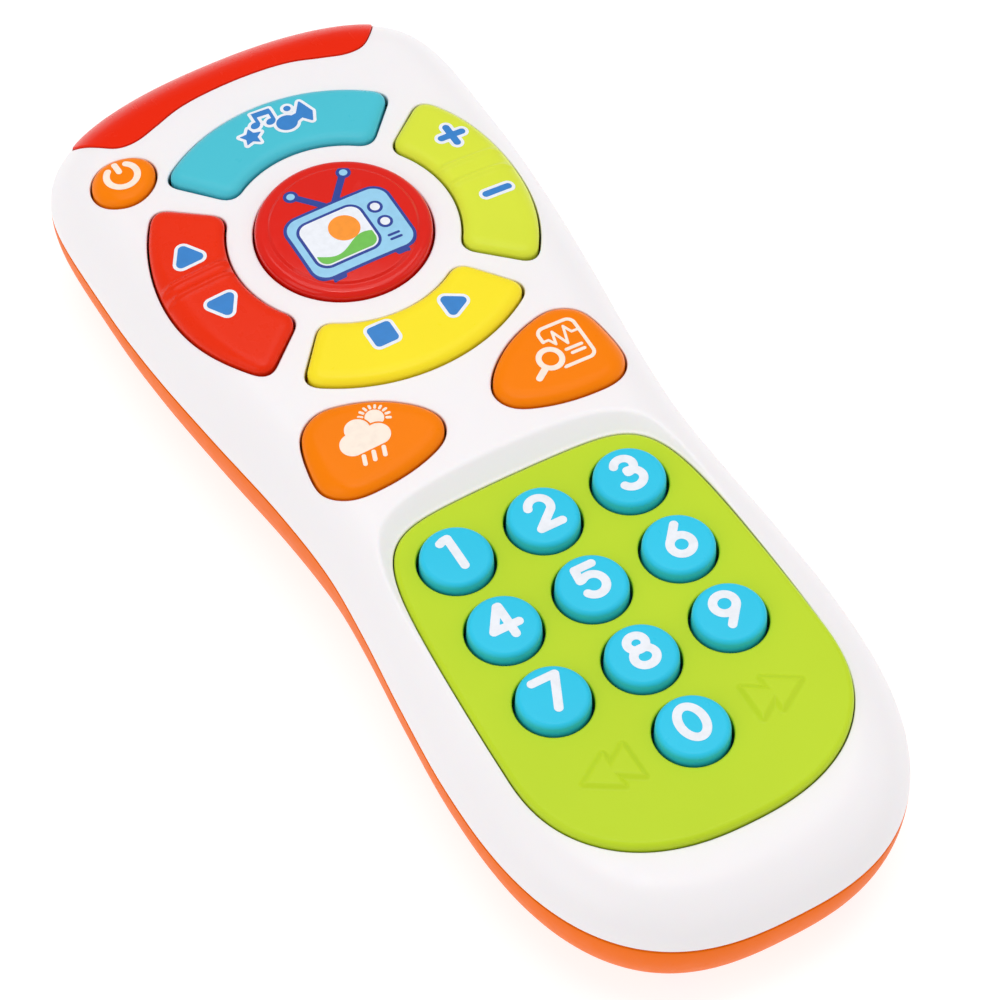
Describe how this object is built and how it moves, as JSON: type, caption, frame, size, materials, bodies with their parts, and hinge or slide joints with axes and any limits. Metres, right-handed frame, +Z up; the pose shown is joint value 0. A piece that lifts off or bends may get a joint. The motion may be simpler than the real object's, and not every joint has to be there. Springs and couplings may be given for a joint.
{
  "type": "toy television remote control",
  "caption": "Waisted handheld toy remote control lying on its back, with a ring of rocker buttons round a disc, a number pad and a red signal window.",
  "frame": {"origin": "centre of the body's outline on the surface it lies on", "axes": "+X to the right of the button face, +Y toward the signal window, +Z up out of the button face"},
  "size_m": [0.0666, 0.1702, 0.0288],
  "materials": {
    "white_shell": "smooth, satin-gloss moulded ABS",
    "orange_shell": "smooth, satin moulded ABS",
    "window_red": "glossy, slightly translucent",
    "lime_plate": "satin moulded",
    "lime_rocker": "satin moulded",
    "key_blue": "satin moulded, white printed digit",
    "red_rocker": "satin moulded",
    "disc_red": "glossy moulded, printed picture",
    "teal_button": "satin moulded",
    "yellow_rocker": "satin moulded",
    "orange_button": "satin moulded, white print",
    "mat_rubber": "matt silicone",
    "board_green": "solder-masked board",
    "chip_black": "epoxy",
    "lamp_clear": "clear lamp",
    "steel": "plated steel",
    "cone_black": "pressed paper cone",
    "cell_green": "plain cell sleeve",
    "wire_red": "soft PVC",
    "wire_black": "soft PVC"
  },
  "bodies": {
    "housing": {"top_shell": "white_shell", "bottom_shell": "orange_shell", "ir_window": "window_red", "keypad_plate": "lime_plate", "ring_mat": "mat_rubber", "function_mat": "mat_rubber", "power_mat": "mat_rubber", "keypad_mat": "mat_rubber", "circuit_board": "board_green", "sound_chip": "chip_black", "led_left": "lamp_clear", "led_right": "lamp_clear", "speaker_frame": "steel", "speaker_cone": "cone_black", "speaker_magnet": "steel", "battery_1": "cell_green", "battery_2": "cell_green", "battery_spring_1": "steel", "battery_spring_2": "steel", "battery_contact_1": "steel", "battery_contact_2": "steel", "battery_cover": "orange_shell", "battery_cover_screw": "steel", "speaker_wire_red": "wire_red", "speaker_wire_black": "wire_black", "battery_wire_red": "wire_red", "battery_wire_black": "wire_black", "housing_screw_1": "steel", "board_screw_1": "steel", "housing_screw_2": "steel", "board_screw_2": "steel", "housing_screw_3": "steel", "board_screw_3": "steel", "housing_screw_4": "steel", "board_screw_4": "steel", "housing_screw_5": "steel", "board_screw_5": "steel"},
    "power_button": {"power_button": "orange_button"},
    "music_button": {"music_button": "teal_button"},
    "channel_rocker": {"channel_rocker": "red_rocker"},
    "volume_rocker": {"volume_rocker": "lime_rocker"},
    "stop_play_rocker": {"stop_play_rocker": "yellow_rocker"},
    "tv_button": {"tv_button": "disc_red"},
    "weather_button": {"weather_button": "orange_button"},
    "search_button": {"search_button": "orange_button"},
    "key_0": {"key_0": "key_blue"},
    "key_1": {"key_1": "key_blue"},
    "key_2": {"key_2": "key_blue"},
    "key_3": {"key_3": "key_blue"},
    "key_4": {"key_4": "key_blue"},
    "key_5": {"key_5": "key_blue"},
    "key_6": {"key_6": "key_blue"},
    "key_7": {"key_7": "key_blue"},
    "key_8": {"key_8": "key_blue"},
    "key_9": {"key_9": "key_blue"}
  },
  "joints": [
    {"name": "power_press", "type": "slide", "parent": "housing", "child": "power_button", "axis": [0, 0, -1], "range_m": [0, 0.0015], "stiffness_N_per_m": 400, "springref_m": -0.0005},
    {"name": "music_press", "type": "slide", "parent": "housing", "child": "music_button", "axis": [0, 0, -1], "range_m": [0, 0.0015], "stiffness_N_per_m": 400, "springref_m": -0.0005},
    {"name": "channel_rock", "type": "hinge", "parent": "housing", "child": "channel_rocker", "pos_m": [-0.02283, 0.0396, 0.0237], "axis": [1, 0, 0], "range_deg": [-3, 3], "stiffness_Nm_per_rad": 0.15},
    {"name": "volume_rock", "type": "hinge", "parent": "housing", "child": "volume_rocker", "pos_m": [0.02283, 0.0396, 0.0237], "axis": [1, 0, 0], "range_deg": [-3, 3], "stiffness_Nm_per_rad": 0.15},
    {"name": "stop_play_rock", "type": "hinge", "parent": "housing", "child": "stop_play_rocker", "pos_m": [0, 0.01678, 0.0237], "axis": [0, 1, 0], "range_deg": [-3, 3], "stiffness_Nm_per_rad": 0.15},
    {"name": "tv_press", "type": "slide", "parent": "housing", "child": "tv_button", "axis": [0, 0, -1], "range_m": [0, 0.0015], "stiffness_N_per_m": 400, "springref_m": -0.0005},
    {"name": "weather_press", "type": "slide", "parent": "housing", "child": "weather_button", "axis": [0, 0, -1], "range_m": [0, 0.0015], "stiffness_N_per_m": 400, "springref_m": -0.0005},
    {"name": "search_press", "type": "slide", "parent": "housing", "child": "search_button", "axis": [0, 0, -1], "range_m": [0, 0.0015], "stiffness_N_per_m": 400, "springref_m": -0.0005},
    {"name": "key_0_press", "type": "slide", "parent": "housing", "child": "key_0", "axis": [0, 0, -1], "range_m": [0, 0.0015], "stiffness_N_per_m": 400, "springref_m": -0.0005},
    {"name": "key_1_press", "type": "slide", "parent": "housing", "child": "key_1", "axis": [0, 0, -1], "range_m": [0, 0.0015], "stiffness_N_per_m": 400, "springref_m": -0.0005},
    {"name": "key_2_press", "type": "slide", "parent": "housing", "child": "key_2", "axis": [0, 0, -1], "range_m": [0, 0.0015], "stiffness_N_per_m": 400, "springref_m": -0.0005},
    {"name": "key_3_press", "type": "slide", "parent": "housing", "child": "key_3", "axis": [0, 0, -1], "range_m": [0, 0.0015], "stiffness_N_per_m": 400, "springref_m": -0.0005},
    {"name": "key_4_press", "type": "slide", "parent": "housing", "child": "key_4", "axis": [0, 0, -1], "range_m": [0, 0.0015], "stiffness_N_per_m": 400, "springref_m": -0.0005},
    {"name": "key_5_press", "type": "slide", "parent": "housing", "child": "key_5", "axis": [0, 0, -1], "range_m": [0, 0.0015], "stiffness_N_per_m": 400, "springref_m": -0.0005},
    {"name": "key_6_press", "type": "slide", "parent": "housing", "child": "key_6", "axis": [0, 0, -1], "range_m": [0, 0.0015], "stiffness_N_per_m": 400, "springref_m": -0.0005},
    {"name": "key_7_press", "type": "slide", "parent": "housing", "child": "key_7", "axis": [0, 0, -1], "range_m": [0, 0.0015], "stiffness_N_per_m": 400, "springref_m": -0.0005},
    {"name": "key_8_press", "type": "slide", "parent": "housing", "child": "key_8", "axis": [0, 0, -1], "range_m": [0, 0.0015], "stiffness_N_per_m": 400, "springref_m": -0.0005},
    {"name": "key_9_press", "type": "slide", "parent": "housing", "child": "key_9", "axis": [0, 0, -1], "range_m": [0, 0.0015], "stiffness_N_per_m": 400, "springref_m": -0.0005}
  ]
}
